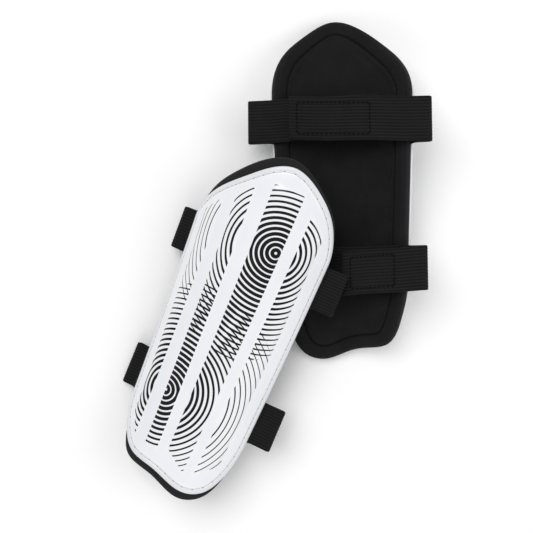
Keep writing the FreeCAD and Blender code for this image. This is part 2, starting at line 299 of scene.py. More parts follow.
def outline(top, bottom):
    """Closed loop of flat pattern points: top, right side, bottom, left side."""
    upper = [flat(p) for p in top]
    lower = [flat(p) for p in bottom]
    right = lower[0] - upper[-1]
    left = upper[0] - lower[-1]
    head = spline(upper, left, right, ACROSS)
    foot = spline(lower, right, left, ACROSS)
    side_r = np.linspace(upper[-1], lower[0], ALONG + 1)
    side_l = np.linspace(lower[-1], upper[0], ALONG + 1)
    return np.concatenate([head[:-1], side_r[:-1], foot[:-1], side_l[:-1]])


def inward(loop):
    """Smoothed unit normals of a loop, towards its inside."""
    ahead = np.roll(loop, -1, 0) - np.roll(loop, 1, 0)
    ahead /= np.linalg.norm(ahead, axis=1)[:, None]
    normal = np.stack([ahead[:, 1], -ahead[:, 0]], 1)
    for _ in range(6):
        normal = (np.roll(normal, 1, 0) + 2 * normal + np.roll(normal, -1, 0)) / 4
    return normal / np.linalg.norm(normal, axis=1)[:, None]


def middle_grid(ring):
    """Inner points of a grid stretched between the four sides of a closed ring."""
    head = ring[:ACROSS + 1]
    side_r = ring[ACROSS:ACROSS + ALONG + 1]
    foot = ring[ACROSS + ALONG:2 * ACROSS + ALONG + 1][::-1]
    side_l = np.concatenate([ring[2 * ACROSS + ALONG:], ring[:1]])[::-1]
    u = np.linspace(0, 1, ACROSS + 1)[None, :, None]
    v = np.linspace(0, 1, ALONG + 1)[:, None, None]
    grid = ((1 - v) * head[None] + v * foot[None] + (1 - u) * side_l[:, None] + u * side_r[:, None]
            - (1 - u) * (1 - v) * head[0] - u * (1 - v) * head[-1]
            - (1 - u) * v * foot[0] - u * v * foot[-1])
    return grid[1:-1, 1:-1].reshape(-1, 2)


class Patch:
    """Quad mesh of a flat pattern: rings along the edge, then a grid across the middle."""

    def __init__(self, loop, insets):
        self.count = len(loop)
        self.rings = len(insets)
        normal = inward(loop)
        rings = [loop + normal * inset for inset in insets]
        inner = middle_grid(rings[-1])
        self.flat = np.concatenate(rings + [inner])
        depth = [np.full(self.count, inset) for inset in insets]
        self.depth = np.concatenate(depth + [np.full(len(inner), insets[-1] + 1.0)])
        self.faces = self.ring_faces() + self.grid_faces()

    def ring_faces(self):
        faces = []
        for ring in range(self.rings - 1):
            base = ring * self.count
            for i in range(self.count):
                j = (i + 1) % self.count
                faces.append((base + i, base + j, base + self.count + j, base + self.count + i))
        return faces

    def grid_point(self, row, column):
        """Number of a grid point; the outermost ones are the last ring's."""
        edge = (self.rings - 1) * self.count
        if row == 0:
            return edge + column
        if row == ALONG:
            return edge + 2 * ACROSS + ALONG - column
        if column == 0:
            return edge + (2 * ACROSS + 2 * ALONG - row) % self.count
        if column == ACROSS:
            return edge + ACROSS + row
        return self.rings * self.count + (row - 1) * (ACROSS - 1) + column - 1

    def grid_faces(self):
        at = self.grid_point
        return [(at(row, column), at(row, column + 1), at(row + 1, column + 1), at(row + 1, column))
                for row in range(ALONG) for column in range(ACROSS)]


def make_object(name, verts, faces, **fields):
    """Smooth mesh with outward normals; each field is one vector per point for its material."""
    mesh = bpy.data.meshes.new(name)
    mesh.from_pydata([tuple(v) for v in verts], [], faces)
    work = bmesh.new()
    work.from_mesh(mesh)
    bmesh.ops.recalc_face_normals(work, faces=work.faces)
    work.to_mesh(mesh)
    work.free()
    mesh.shade_smooth()
    for field, values in fields.items():
        attribute = mesh.attributes.new(field, "FLOAT_VECTOR", "POINT")
        attribute.data.foreach_set("vector", np.asarray(values, np.float32).ravel())
    obj = bpy.data.objects.new(name, mesh)
    bpy.context.scene.collection.objects.link(obj)
    return obj


def slab(letter, name, patch, outer, inner, edge_rows):
    """Closed layer: an outer face, an inner face and rounded edge rows between them.

    The pattern field is the flat place and the radius; the zone field is the distance inside the
    edge (-1 on the edge itself) and the distance inside the nearest rib.
    """
    edge = patch.flat[:patch.count]
    away = inward(edge)
    flats = [patch.flat, patch.flat] + [edge + away * inset for inset, _ in edge_rows]
    radii = [outer, inner] + [np.full(patch.count, radius) for _, radius in edge_rows]
    depth = [patch.depth, patch.depth] + [np.full(patch.count, -1.0) for _ in edge_rows]
    verts = np.concatenate([on_surface(place, radius) for place, radius in zip(flats, radii)])
    places = np.concatenate(flats)
    pattern = np.column_stack([places, np.concatenate(radii)])
    zone = np.column_stack([np.concatenate(depth), rib_depth(places), np.zeros(len(places))])
    size = len(patch.flat)
    faces = [f[::-1] for f in patch.faces]
    faces += [tuple(i + size for i in f) for f in patch.faces]
    bases = [0] + [2 * size + k * patch.count for k in range(len(edge_rows))] + [size]
    for a, b in zip(bases, bases[1:]):
        for i in range(patch.count):
            j = (i + 1) % patch.count
            faces.append((a + i, a + j, b + j, b + i))
    return make_object(name, to_world(letter, verts), faces, pattern=pattern, zone=zone)


def smooth_step(value):
    value = np.clip(value, 0, 1)
    return value * value * (3 - 2 * value)


def rib_depth(points):
    """Distance inside the nearest rib's edges, for flat pattern points; negative outside."""
    best = np.full(len(points), -99.0)
    for rib in RIBS:
        head_l, head_r = rib["head"]
        foot_l, foot_r = rib["foot"]
        corners = [flat((rib["bottom"][0], foot_l)), flat((rib["top"][0], head_l)),
                   flat((rib["top"][1], head_r)), flat((rib["bottom"][1], foot_r))]
        inside = np.full(len(points), 99.0)
        for a, b in zip(corners, corners[1:] + corners[:1]):
            along = (b - a) / np.linalg.norm(b - a)
            normal = np.array([along[1], -along[0]])
            inside = np.minimum(inside, (points - a) @ normal)
        best = np.maximum(best, inside)
    return best


def shell_piece(letter, loop):
    patch = Patch(loop, SHELL_INSETS)
    channel = CHANNEL_D * np.exp(-((patch.depth - CHANNEL_AT) / CHANNEL_W) ** 2)
    rim = SHELL_RIM_D * (1 - smooth_step(patch.depth / SHELL_RIM_W))
    ribs = RIB_H * smooth_step((rib_depth(patch.flat) + RIB_START) / RIB_FLANK)
    outer = SHELL_OUT - channel - rim + ribs
    inner = np.full(len(patch.flat), SHELL_IN)
    return slab(letter, f"guard_{letter}_shell_skin", patch, outer, inner,
                [(-0.05, SHELL_OUT - 1.0), (0, SHELL_IN + 0.3)])


def foam_piece(letter, loop):
    patch = Patch(loop, PAD_INSETS)
    fall = FOAM_RIM_D * (1 - smooth_step(patch.depth / FOAM_RIM_W))
    return slab(letter, f"guard_{letter}_foam", patch, SHELL_IN - 0.05 - fall, FOAM_IN + 0.3 * fall,
                [(-0.35, SHELL_IN - 1.6), (-0.55, SHELL_IN - 2.6), (-0.35, FOAM_IN + 1.4)])


def lining_piece(letter, loop):
    patch = Patch(loop, PAD_INSETS)
    depth = patch.depth
    wave = 0.10 * np.sin(patch.flat[:, 0] * 0.19 + 1.3) * np.sin(patch.flat[:, 1] * 0.085)
    wave += 0.06 * np.sin(patch.flat[:, 1] * 0.31 + patch.flat[:, 0] * 0.11)
    edge = LINING_RIM_D * (1 - smooth_step(depth / LINING_RIM_W))
    band = BAND_PUFF * np.exp(-((depth - BAND_AT) / BAND_W) ** 2)
    groove = (GROOVE_IN - BAND_IN) * np.exp(-((depth - GROOVE_AT) / GROOVE_W) ** 2)
    inside = smooth_step((depth - GROOVE_AT) / PANEL_RISE_W)
    inner = BAND_IN + edge - band + groove - (BAND_IN - PANEL_IN) * inside + wave * inside
    outer = np.full(len(patch.flat), FOAM_IN + 0.05)
    piece = slab(letter, f"guard_{letter}_lining_knit", patch, outer, inner, [(0.0, FOAM_IN - 0.1)])
    inflate(piece, patch)
    return piece


def free_share(depth):
    """0 where the lining is held, at its rim and groove, and 1 where the fabric can puff."""
    band = smooth_step((depth - 1.6) / 1.5) * smooth_step((8.0 - depth) / 1.5)
    return np.maximum(band, smooth_step((depth - 10.6) / 2.0))


def cloth_sheet(rest, faces, free):
    """Sheet at SIM_SCALE under pressure, pinned in the measure that its points aren't free."""
    mesh = bpy.data.meshes.new("lining_sim")
    mesh.from_pydata([tuple(v) for v in rest * SIM_SCALE], [], faces)
    sheet = bpy.data.objects.new("lining_sim", mesh)
    bpy.context.scene.collection.objects.link(sheet)
    pins = sheet.vertex_groups.new(name="pins")
    for index, weight in enumerate(free):
        pins.add([index], 1.0 - float(weight), "REPLACE")
    cloth = sheet.modifiers.new("cloth", "CLOTH")
    cloth.settings.vertex_group_mass = "pins"
    cloth.settings.use_pressure = True
    cloth.settings.uniform_pressure_force = SIM_PRESSURE
    cloth.settings.shrink_min = SIM_GROW
    cloth.settings.effector_weights.gravity = 0.0
    cloth.settings.quality = SIM_QUALITY
    cloth.point_cache.frame_start = 1
    cloth.point_cache.frame_end = SIM_FRAMES
    return sheet


def solved_shift(sheet, rest):
    """How far the simulation moves each point, at real size. The sheet is removed."""
    scene = bpy.context.scene
    for frame_number in range(1, SIM_FRAMES + 1):
        scene.frame_set(frame_number)
    solved = sheet.evaluated_get(bpy.context.evaluated_depsgraph_get()).data
    moved = np.empty(rest.size)
    solved.vertices.foreach_get("co", moved)
    bpy.data.objects.remove(sheet)
    scene.frame_set(1)
    return (moved.reshape(-1, 3) - rest * SIM_SCALE) / SIM_SCALE


def inflate(piece, patch):
    """Moves the lining's leg side as its cloth simulation does, by PUFF_CAP at most."""
    size = len(patch.flat)
    coords = np.empty(len(piece.data.vertices) * 3)
    piece.data.vertices.foreach_get("co", coords)
    coords = coords.reshape(-1, 3)
    rest = coords[size:2 * size]
    towards_leg = (rest - coords[:size]).mean(0)
    faces = patch.faces
    a, b, c = (rest[[face[k] for face in faces]] for k in range(3))
    if (np.cross(b - a, c - a).mean(0) @ towards_leg) < 0:
        faces = [face[::-1] for face in faces]
    free = free_share(patch.depth)
    shift = solved_shift(cloth_sheet(rest, faces, free), rest)
    length = np.linalg.norm(shift, axis=1)
    scale = PUFF_CAP * np.tanh(length / PUFF_CAP) / np.maximum(length, 1e-9)
    coords[size:2 * size] = rest + shift * (scale * free)[:, None]
    piece.data.vertices.foreach_set("co", coords.ravel())
    piece.data.update()


# Straps are drawn in the section plane at the middle of a station, x across and z out.

def rim_angle(side, y):
    """Angle of the foam's edge in the section at a height, on the right (1) or the left (-1)."""
    top = FOAM_TOP[-1] if side > 0 else FOAM_TOP[0]
    bottom = FOAM_BOTTOM[0] if side > 0 else FOAM_BOTTOM[-1]
    share = (y - bottom[1]) / (top[1] - bottom[1])
    return math.asin(abs(bottom[0] + share * (top[0] - bottom[0])) / SECTION_R)


def levels(station):
    """Heights of the loop strap's middle, both tapes' outer faces and the tab's middle."""
    rim = min(BAND_IN * math.cos(rim_angle(side, station["y"])) for side in (-1, 1))
    loop_mid = rim - RIM_GAP - WEB_T / 2
    tape_top = loop_mid - WEB_T / 2
    hook_top = tape_top - TAPE_T - TAPE_GAP
    return loop_mid, tape_top, hook_top, hook_top - TAPE_T - WEB_T / 2


def fold_place(station, side, fold_r, reach):
    """Distance of a fold's centre from the middle of the guard."""
    return SECTION_R * math.sin(rim_angle(side, station["y"])) + reach - fold_r - WEB_T / 2


def arc_through(before, corner, after, radius):
    """Points of the tangent arc that rounds a corner."""
    back = (before - corner) / np.linalg.norm(before - corner)
    ahead = (after - corner) / np.linalg.norm(after - corner)
    half = math.acos(np.clip(back @ ahead, -1, 1)) / 2
    centre = corner + (back + ahead) / np.linalg.norm(back + ahead) * radius / math.sin(half)
    first = corner + back * radius / math.tan(half)
    last = corner + ahead * radius / math.tan(half)
    start = math.atan2(*(first - centre)[::-1])
    sweep = math.remainder(math.atan2(*(last - centre)[::-1]) - start, 2 * math.pi)
    at = start + sweep * np.linspace(0, 1, 24)
    return centre + radius * np.stack([np.cos(at), np.sin(at)], 1)


def strap_path(side, station, fold_r, reach, run_z, end_x):
    """Middle line of a strap, from its sewn root round the side fold to its free end."""
    edge = rim_angle(side, station["y"])
    radius = SHELL_IN - 0.1 - WEB_T / 2
    angles = edge + (np.linspace(0, 1, 12) - 1) * ROOT_L / radius
    root = radius * np.stack([side * np.sin(angles), np.cos(angles)], 1)
    level = run_z + 2 * fold_r
    leave = root[-1]
    bend = np.array([side * (abs(leave[0]) + (leave[1] - level) / math.tan(edge)), level])
    turn_x = side * (fold_place(station, side, fold_r, reach) + fold_r)
    top = np.array([turn_x, level])
    low = np.array([turn_x, run_z])
    end = np.array([end_x, run_z])
    parts = [root, arc_through(leave, bend, top, BEND_R), arc_through(bend, top, low, fold_r),
             arc_through(top, low, end, fold_r), end[None]]
    return np.concatenate(parts)


def ribbon_half(along, across):
    """Half thickness of webbing: less between ribs, at the selvedges and at the cut end."""
    ribs = 0.5 + 0.5 * np.cos(2 * math.pi * across / RIB_PITCH)
    edge = np.clip((np.abs(across) - WEB_W / 2 + SELVEDGE) / SELVEDGE, 0, 1)
    half = (WEB_T / 2 - WEB_RIB_D * (1 - ribs)) * np.sqrt(np.maximum(1 - edge**2, 0.03))
    end = np.clip((along - along[-1] + CUT_END) / CUT_END, 0, 1)
    thin = np.sqrt(np.maximum(1 - end**2, 0.12))
    return thin[:, None] * half[None]


def ribbon_faces(n, m):
    """Faces of a closed ribbon: n rows of m points on one face, then as many on the other."""
    faces = []
    for i in range(n - 1):
        for j in range(m - 1):
            a, b, c, d = i * m + j, i * m + j + 1, (i + 1) * m + j + 1, (i + 1) * m + j
            faces.append((a, b, c, d))
            faces.append((a + n * m, d + n * m, c + n * m, b + n * m))
        for j, flip in ((0, 1), (m - 1, 0)):
            quad = (i * m + j, (i + 1) * m + j, (i + 1) * m + j + n * m, i * m + j + n * m)
            faces.append(quad if flip else quad[::-1])
    for i in (0, n - 1):
        for j in range(m - 1):
            quad = (i * m + j, i * m + j + n * m, i * m + j + 1 + n * m, i * m + j + 1)
            faces.append(quad if i == 0 else quad[::-1])
    return faces


def ribbon(letter, name, path, station, shear=0.0, shear_from=0.0):
    """Ribbed elastic webbing along a path; shear slants it from a length along the path on."""
    length = np.linalg.norm(np.diff(path, axis=0), axis=1).cumsum()[-1]
    count = int(length / WEB_STEP)
    line = resample(path, count)
    along = np.linspace(0, length, count + 1)
    tangent = np.gradient(line, axis=0)
    tangent /= np.linalg.norm(tangent, axis=1)[:, None]
    normal = np.stack([-tangent[:, 1], tangent[:, 0]], 1)
    across = np.linspace(-WEB_W / 2, WEB_W / 2, WEB_POINTS)
    half = ribbon_half(along, across)
    drift = SWAY * np.sin(along * 0.11) * np.clip(along / 25 - 1, 0, 1)
    lean = np.tan(math.radians(shear)) * np.clip(along - shear_from, 0, None)
    verts = []
    pattern = []
    for face in (1, -1):
        x = line[:, 0, None] + normal[:, 0, None] * face * half
        z = line[:, 1, None] + normal[:, 1, None] * face * half
        y = across[None] + (drift + lean)[:, None] + 0 * x
        verts.append(np.stack([x, y, z], 2).reshape(-1, 3))
        pattern.append(np.stack([along[:, None] + 0 * x, across[None] + 0 * x, 0 * x], 2).reshape(-1, 3))
    local = at_station(np.concatenate(verts), station["y"])
    return make_object(name, to_world(letter, local), ribbon_faces(len(along), len(across)),
                       pattern=np.concatenate(pattern))


def tape_faces(n, m):
    """Faces of a closed plate: n rows of m points on one face, then as many on the other."""
    faces = []
    for i in range(n - 1):
        for j in range(m - 1):
            a, b, c, d = i * m + j, i * m + j + 1, (i + 1) * m + j + 1, (i + 1) * m + j
            faces.append((a, d, c, b))
            faces.append((a + n * m, b + n * m, c + n * m, d + n * m))
    rim = ([i * m for i in range(n)] + [(n - 1) * m + j for j in range(1, m)]
           + [i * m + m - 1 for i in range(n - 2, -1, -1)] + [j for j in range(m - 2, 0, -1)])
    for a, b in zip(rim, rim[1:] + rim[:1]):
        faces.append((a, a + n * m, b + n * m, b))
    return faces


def tape(letter, name, station, heights, shear, fold_x):
    """Flat piece of hook or loop tape with rounded corners and edges, slanted about the fold."""
    x_from, x_to = station["tape"]
    z_low, z_high = heights
    u = np.linspace(-1, 1, 61)
    v = np.linspace(-1, 1, 31)
    gx, gv = np.meshgrid(u, v, indexing="ij")
    corner = 1 - 0.035 * gx**6 * gv**6
    x = (x_from + x_to) / 2 + gx * corner * (x_to - x_from) / 2
    y = gv * corner * TAPE_W / 2 + math.tan(math.radians(shear)) * (x + fold_x)
    slim = np.sqrt(np.maximum(1 - np.maximum(np.abs(gx) ** 40, np.abs(gv) ** 24), 0.05))
    middle = (z_low + z_high) / 2
    half = (z_high - z_low) / 2
    verts = np.concatenate([np.stack([x, y, middle + side * half * slim], 2).reshape(-1, 3)
                            for side in (1, -1)])
    pattern = np.column_stack([verts[:, :2], np.zeros(len(verts))])
    local = at_station(verts, station["y"])
    return make_object(name, to_world(letter, local), tape_faces(*gx.shape), pattern=pattern)


def threads(letter, name, stitches, radius, rise):
    """Short arched threads; each stitch is its start, its end and the way it stands out."""
    verts, faces = [], []
    sides, steps = 7, 7
    for start, end, out in stitches:
        along = (end - start) / np.linalg.norm(end - start)
        across = np.cross(along, out)
        base = len(verts)
        for k in range(steps):
            t = k / (steps - 1)
            centre = start + (end - start) * t + out * (rise * math.sin(math.pi * t) - 0.08)
            size = radius * (0.55 + 0.45 * math.sin(math.pi * t) ** 0.5)
            for s in range(sides):
                turn = 2 * math.pi * s / sides
                verts.append(centre + size * (math.cos(turn) * across + math.sin(turn) * out))
        for k in range(steps - 1):
            for s in range(sides):
                a, b = base + k * sides + s, base + k * sides + (s + 1) % sides
                faces.append((a, b, b + sides, a + sides))
        faces.append(tuple(base + s for s in range(sides))[::-1])
        faces.append(tuple(base + (steps - 1) * sides + s for s in range(sides)))
    return make_object(name, to_world(letter, np.array(verts)), faces)


def loop_at(loop, inset, count):
    """Evenly spaced points of a pattern's inset line."""
    ring = loop + inward(loop) * inset
    return resample(np.concatenate([ring, ring[:1]]), count)


def seam(loop, inset, radius, pitch, fill, outwards):
    """Stitches along an inset line of a layer, and the needle holes between them."""
    ring = loop + inward(loop) * inset
    count = round(np.linalg.norm(np.diff(ring, axis=0), axis=1).sum() / pitch)
    spots = loop_at(loop, inset, count)
    step = np.diff(spots, axis=0)
    gap = (1 - fill) / 2
    starts = on_surface(spots[:-1] + step * gap, radius)
    ends = on_surface(spots[:-1] + step * (1 - gap), radius)
    out = on_surface(spots[:-1] + step / 2, radius + 1) - on_surface(spots[:-1] + step / 2, radius)
    return list(zip(starts, ends, out * outwards)), spots[:-1]


def needle_holes(letter, name, spots, radius):
    """Small dimples where the thread goes through the shell, coloured dark as painted shade of the
    holes.
    """
    verts, faces = [], []
    turns = [2 * math.pi * k / HOLE_SIDES for k in range(HOLE_SIDES)]
    for spot in spots:
        size = HOLE_R + HOLE_SPREAD * random.random()
        base = len(verts)
        for share, depth in ((1.0, 0.03), (0.55, -0.02)):
            ring = np.array([spot + size * share * np.array([math.cos(t), math.sin(t)]) for t in turns])
            verts.extend(on_surface(ring, radius + depth))
        for k in range(HOLE_SIDES):
            j = (k + 1) % HOLE_SIDES
            faces.append((base + k, base + j, base + HOLE_SIDES + j, base + HOLE_SIDES + k))
        faces.append(tuple(base + HOLE_SIDES + k for k in range(HOLE_SIDES)))
    return make_object(name, to_world(letter, np.array(verts)), faces)


def box_seam(station, tab_mid, shear, fold_x):
    """Box stitch on the tab's outer face."""
    x_from = station["tape"][0] + BOX_INSET
    x_to = station["tape"][1] - BOX_INSET
    half = TAPE_W / 2 - BOX_INSET
    level = tab_mid - WEB_T / 2 - 0.05
    corners = [(x_from, -half), (x_to, -half), (x_to, half), (x_from, half)]
    stitches = []
    for (xa, ya), (xb, yb) in zip(corners, corners[1:] + corners[:1]):
        count = round(math.hypot(xb - xa, yb - ya) / BOX_PITCH)
        for k in range(count):
            ends = []
            for share in BOX_STITCH:
                t = (k + share) / count
                x = xa + (xb - xa) * t
                y = ya + (yb - ya) * t + math.tan(math.radians(shear)) * (x + fold_x)
                ends.append(at_station(np.array([[x, y, level]]), station["y"])[0])
            stitches.append((ends[0], ends[1], np.array([0.0, 0.0, -1.0])))
    return stitches


# Materials. The pattern field is in millimetres, so scales below are per millimetre.

class Graph:
    """Short way to write the nodes of one material."""

    def __init__(self, name):
        self.material = bpy.data.materials.new(name)
        self.material.use_nodes = True
        self.nodes = self.material.node_tree.nodes
        self.links = self.material.node_tree.links
        self.shader = self.nodes["Principled BSDF"]

    def put(self, socket, value):
        if isinstance(value, bpy.types.NodeSocket):
            self.links.new(value, socket)
        else:
            socket.default_value = value

    def set(self, **values):
        for name, value in values.items():
            self.put(self.shader.inputs[name.replace("_", " ")], value)

    def math(self, kind, *values):
        node = self.nodes.new("ShaderNodeMath")
        node.operation = kind
        for socket, value in zip(node.inputs, values):
            self.put(socket, value)
        return node.outputs[0]

    def plus(self, first, second):
        return self.math("ADD", first, second)

    def minus(self, first, second):
        return self.math("SUBTRACT", first, second)

    def times(self, first, second):
        return self.math("MULTIPLY", first, second)

    def field(self, name):
        """A vector field of the mesh, whole and as its X, Y and Z."""
        node = self.nodes.new("ShaderNodeAttribute")
        node.attribute_name = name
        split = self.nodes.new("ShaderNodeSeparateXYZ")
        self.links.new(node.outputs["Vector"], split.inputs[0])
        return node.outputs["Vector"], split.outputs

    def noise(self, vector, scale, detail=3.0):
        node = self.nodes.new("ShaderNodeTexNoise")
        self.put(node.inputs["Vector"], vector)
        self.put(node.inputs["Scale"], scale)
        self.put(node.inputs["Detail"], detail)
        return node.outputs["Fac"]

    def step(self, value, low, high, start=0.0, end=1.0):
        node = self.nodes.new("ShaderNodeMapRange")
        node.interpolation_type = "SMOOTHSTEP"
        for socket, item in zip(node.inputs, (value, low, high, start, end)):
            self.put(socket, item)
        return node.outputs["Result"]

    def mix(self, share, first, second):
        node = self.nodes.new("ShaderNodeMix")
        node.data_type = "RGBA"
        self.put(node.inputs["Factor"], share)
        self.put(node.inputs[6], first)
        self.put(node.inputs[7], second)
        return node.outputs[2]

    def wave(self, value, pitch, shift=0.0):
        """Sine from 0 to 1 with a period of pitch."""
        turned = self.math("MULTIPLY_ADD", value, 2 * math.pi / pitch, shift)
        return self.math("MULTIPLY_ADD", self.math("SINE", turned), 0.5, 0.5)

    def length(self, x, y):
        return self.math("SQRT", self.plus(self.times(x, x), self.times(y, y)))

    def bump(self, height_mm, strength=1.0):
        node = self.nodes.new("ShaderNodeBump")
        node.inputs["Distance"].default_value = MM
        node.inputs["Strength"].default_value = strength
        self.put(node.inputs["Height"], height_mm)
        self.links.new(node.outputs["Normal"], self.shader.inputs["Normal"])


def rings(graph, x, y, name):
    """Black line mask of one ring system; lines are broad near the centre and fine far away."""
    side = RING_SIDES[name]
    dx = graph.minus(x, RING_CENTRES[name][0])
    dy = graph.minus(y, RING_CENTRES[name][1])
    reach = graph.length(dx, dy)
    share = graph.math("FRACT", graph.math("MULTIPLY_ADD", reach, 1 / RING_PITCH, -RING_PHASE))
    off = graph.math("ABSOLUTE", graph.minus(share, 0.5))
    stretched = []
    for axis, away, towards in zip((dx, dy), RING_STRETCH["away"], RING_STRETCH["towards"]):
        outer = graph.times(axis, away * side)
        inner = graph.times(axis, -towards * side)
        stretched.append(graph.math("MAXIMUM", outer, inner))
    half = graph.step(graph.length(*stretched), *RING_FADE, *RING_HALF)
    return graph.step(graph.minus(half, off), -0.03, 0.03)


def ring_print(graph, x, y, height, name):
    """One ring system, up to the bowed line where it ends inside the other."""
    lines = rings(graph, x, y, name)
    middle, end = RING_MEETING[name]
    off = graph.minus(x, middle)
    bow = graph.times(graph.times(off, off), RING_BOW)
    past = graph.math("MULTIPLY_ADD", height, -RING_SIDES[name], bow)
    return graph.times(lines, graph.step(past, end, end + 1.0, 1, 0))


def rib_ink(graph, vector, place, on_rib):
    """Ink mask of the whole print, a little worn."""
    ragged = graph.math("MULTIPLY_ADD", graph.noise(vector, 0.35), RAGGED, -RAGGED / 2)
    height = graph.plus(place["Y"], ragged)
    upper, lower = (ring_print(graph, place["X"], place["Y"], height, name) for name in RING_CENTRES)
    lines = graph.times(graph.math("MAXIMUM", upper, lower), on_rib)
    worn = graph.times(graph.step(graph.noise(vector, 1.3, 5.0), 0.62, 0.7), 0.05)
    return graph.times(lines, graph.minus(1.0, worn))


def shell_material():
    graph = Graph("shell_gloss_white")
    vector, place = graph.field("pattern")
    _, zone = graph.field("zone")
    ink = rib_ink(graph, vector, place, graph.step(zone["Y"], 0.15, 0.35))
    off_rib = graph.step(zone["Y"], -2.4, 0.4, 1.0, 0.0)
    blue = graph.times(off_rib, graph.step(zone["X"], 4.0, 7.0))
    rim = graph.step(zone["X"], 2.6, 3.6, 1.0, 0.0)
    haze = graph.step(graph.noise(vector, 0.05), 0.35, 0.75)
    base = graph.mix(haze, SHELL_WHITE, SHELL_DULL)
    base = graph.mix(graph.times(blue, 0.28), base, SHELL_BLUE)
    base = graph.mix(graph.times(rim, 0.75), base, SHELL_RIM)
    smear = graph.noise(vector, 0.12, 4.0)
    graph.set(Base_Color=graph.mix(ink, base, INK), Roughness=graph.step(smear, 0.3, 0.75, 0.16, 0.3),
              Coat_Weight=0.1, Coat_Roughness=0.08, Specular_IOR_Level=0.25)
    peel = graph.times(graph.noise(vector, 0.45), 0.05)
    graph.bump(graph.plus(peel, graph.times(ink, 0.03)), 0.6)
    return graph.material


def foam_material():
    graph = Graph("foam_edge_knit")
    vector, place = graph.field("pattern")
    _, zone = graph.field("zone")
    lines = graph.wave(graph.plus(place["Z"], zone["X"]), 0.9)
    grain = graph.noise(vector, 2.2, 4.0)
    shade = graph.mix(graph.times(lines, 0.6), *FOAM_TONES)
    dusty = graph.times(graph.step(grain, 0.4, 0.8), 0.5)
    graph.set(Base_Color=graph.mix(dusty, shade, FOAM_DUST), Roughness=0.88, Sheen_Weight=0.03,
              Sheen_Roughness=0.5, Specular_IOR_Level=0.2)
    graph.bump(graph.plus(graph.times(lines, 0.12), graph.times(grain, 0.2)), 0.8)
    return graph.material


def lining_material():
    graph = Graph("lining_fine_knit")
    vector, place = graph.field("pattern")
    _, zone = graph.field("zone")
    wales = graph.wave(place["X"], 0.85)
    courses = graph.wave(graph.plus(place["Y"], graph.times(wales, 0.3)), 0.7)
    knit = graph.times(wales, courses)
    cloud = graph.step(graph.noise(vector, 0.06, 4.0), 0.3, 0.75)
    lint = graph.step(graph.noise(vector, 1.1, 6.0), 0.66, 0.74)
    # Painted shade: the lining is darkened along its pressed groove.
    from_groove = graph.math("ABSOLUTE", graph.minus(zone["X"], GROOVE_AT))
    groove = graph.times(graph.step(from_groove, 0.5, 1.1, 1.0, 0.0), 0.8)
    shade = graph.mix(cloud, *LINING_TONES)
    shade = graph.mix(graph.times(knit, 0.5), shade, LINING_KNIT)
    shade = graph.mix(graph.times(lint, 0.15), shade, LINING_LINT)
    graph.set(Base_Color=graph.mix(groove, shade, LINING_GROOVE_SHADE), Roughness=0.9, Sheen_Weight=0.025,
              Sheen_Roughness=0.45, Specular_IOR_Level=0.2)
    crease = graph.times(graph.noise(vector, 0.5, 5.0), 0.25)
    graph.bump(graph.plus(graph.times(knit, 0.14), crease), 0.7)
    return graph.material


def webbing_material():
    graph = Graph("elastic_webbing")
    vector, place = graph.field("pattern")
    along, across = place["X"], place["Y"]
    weft = graph.wave(graph.plus(along, graph.times(graph.wave(across, RIB_PITCH), 0.4)), 0.8)
    # Painted light and shade: the rib crests are coloured lighter and the valleys between them darker.
    rib = graph.wave(across, RIB_PITCH, math.pi / 2)
    yarn = graph.wave(across, RIB_PITCH / 5)
    worn = graph.step(graph.noise(vector, 0.09, 4.0), 0.35, 0.75)
    shade = graph.mix(rib, *WEB_RIB_LIGHT_AND_SHADE)
    shade = graph.mix(graph.times(weft, 0.45), shade, WEB_WEFT)
    shade = graph.mix(graph.times(worn, 0.25), shade, WEB_WORN)
    graph.set(Base_Color=shade, Roughness=0.8, Sheen_Weight=0.015, Sheen_Roughness=0.4,
              Specular_IOR_Level=0.16)
    height = graph.plus(graph.times(weft, 0.10), graph.times(yarn, 0.05))
    graph.bump(graph.plus(height, graph.times(graph.noise(vector, 2.5), 0.08)), 0.9)
    return graph.material


def tape_material(name, pitch, tones, rough):
    """Hook tape is a grid of small stiff hooks, loop tape a soft tangle."""
    graph = Graph(name)
    vector, place = graph.field("pattern")
    dots = graph.times(graph.wave(place["X"], pitch), graph.wave(place["Y"], pitch))
    tangle = graph.noise(vector, 1.6 / pitch, 6.0)
    graph.set(Base_Color=graph.mix(graph.times(dots, tangle), *tones), Roughness=rough,
              Sheen_Weight=0.05, Sheen_Roughness=0.5, Specular_IOR_Level=0.25)
    graph.bump(graph.plus(graph.times(dots, 0.3), graph.times(tangle, 0.3)), 1.0)
    return graph.material


def thread_material(name, tones, shine):
    """Twisted sewing thread; the noise runs in metres, so its scale is large."""
    graph = Graph(name)
    coords = graph.nodes.new("ShaderNodeTexCoord").outputs["Object"]
    twist = graph.noise(coords, 2600.0, 2.0)
    graph.set(Base_Color=graph.mix(graph.step(twist, 0.35, 0.65), *tones), Roughness=0.7,
              Specular_IOR_Level=shine)
    graph.bump(graph.times(twist, 0.15), 0.8)
    return graph.material


def floor_material():
    graph = Graph("floor_paper")
    coords = graph.nodes.new("ShaderNodeTexCoord").outputs["Object"]
    graph.set(Base_Color=graph.mix(graph.noise(coords, 3.0, 2.0), *PAPER_TONES), Roughness=0.9)
    return graph.material


MATERIALS = {
    "shell_white": shell_material(),
    "foam_black": foam_material(),
    "lining_black": lining_material(),
    "webbing_black": webbing_material(),
    "hook_tape": tape_material("hook_tape_grid", 1.4, HOOK_TONES, 0.5),
    "loop_tape": tape_material("loop_tape_pile", 0.8, LOOP_TONES, 0.95),
    "thread_grey": thread_material("thread_light", THREAD_GREY, 0.4),
    "thread_black": thread_material("thread_dark", THREAD_BLACK, 0.05),
}
HOLE_SHADE_MATERIAL = thread_material("needle_hole", HOLE_SHADE_TONES, 0.1)


